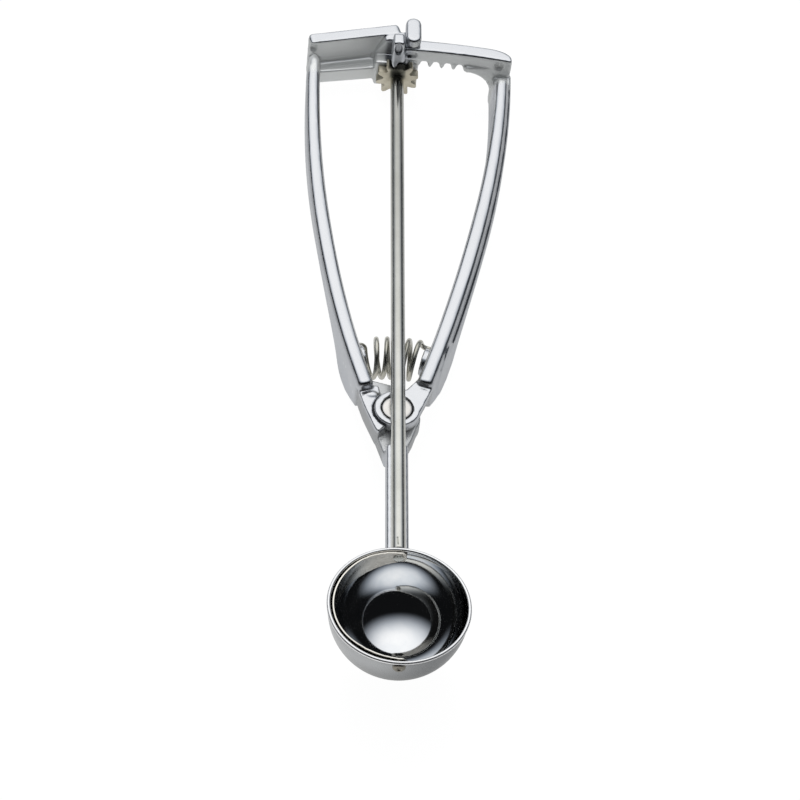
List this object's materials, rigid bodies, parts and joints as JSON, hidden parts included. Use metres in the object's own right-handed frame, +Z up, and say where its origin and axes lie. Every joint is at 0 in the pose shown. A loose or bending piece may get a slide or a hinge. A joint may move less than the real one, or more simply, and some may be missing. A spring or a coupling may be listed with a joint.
{
  "type": "ice cream scoop",
  "caption": "Round bowl scoop with two sprung squeeze handles; a rack on one turns a pinion and rod that sweep a scraper band through the bowl.",
  "frame": {"origin": "middle of the whole scoop's footprint, on the surface it lies on", "axes": "+Y from the bowl towards the handles' far end, +Z up out of the bowl, +X towards the moving handle"},
  "size_m": [0.0616, 0.232, 0.0272],
  "materials": {
    "cast_handle": "bright polished casting",
    "bowl_steel": "mirror polished stainless steel",
    "rod_steel": "smooth nickel steel",
    "scraper_steel": "polished warm steel",
    "rivet_steel": "smooth satin",
    "spring_steel": "bright drawn wire"
  },
  "bodies": {
    "fixed_side": {"fixed_handle": "cast_handle", "bowl": "bowl_steel", "pivot_rivet": "rivet_steel", "rivet_washer": "rivet_steel", "return_spring": "spring_steel"},
    "moving_side": {"moving_handle": "cast_handle"},
    "rod_side": {"drive_rod": "rod_steel", "pinion": "rod_steel", "scraper": "scraper_steel", "scraper_pin": "scraper_steel"}
  },
  "joints": [
    {"name": "handle_squeeze", "type": "hinge", "parent": "fixed_side", "child": "moving_side", "pos_m": [-0.00332, -0.02723, 0.01761], "axis": [0, 0.0845, 0.9964], "range_deg": [0, 7.6], "stiffness_Nm_per_rad": 2, "springref_deg": -9.17, "deforming": ["return_spring"]},
    {"name": "rod_turn", "type": "hinge", "parent": "fixed_side", "child": "rod_side", "pos_m": [-0.00332, -0.09758, 0.02357], "axis": [0, -0.9964, 0.0845], "range_deg": [0, 175]}
  ],
  "couplings": [
    {"joint": "rod_turn", "follows": "handle_squeeze", "ratio": 23}
  ]
}
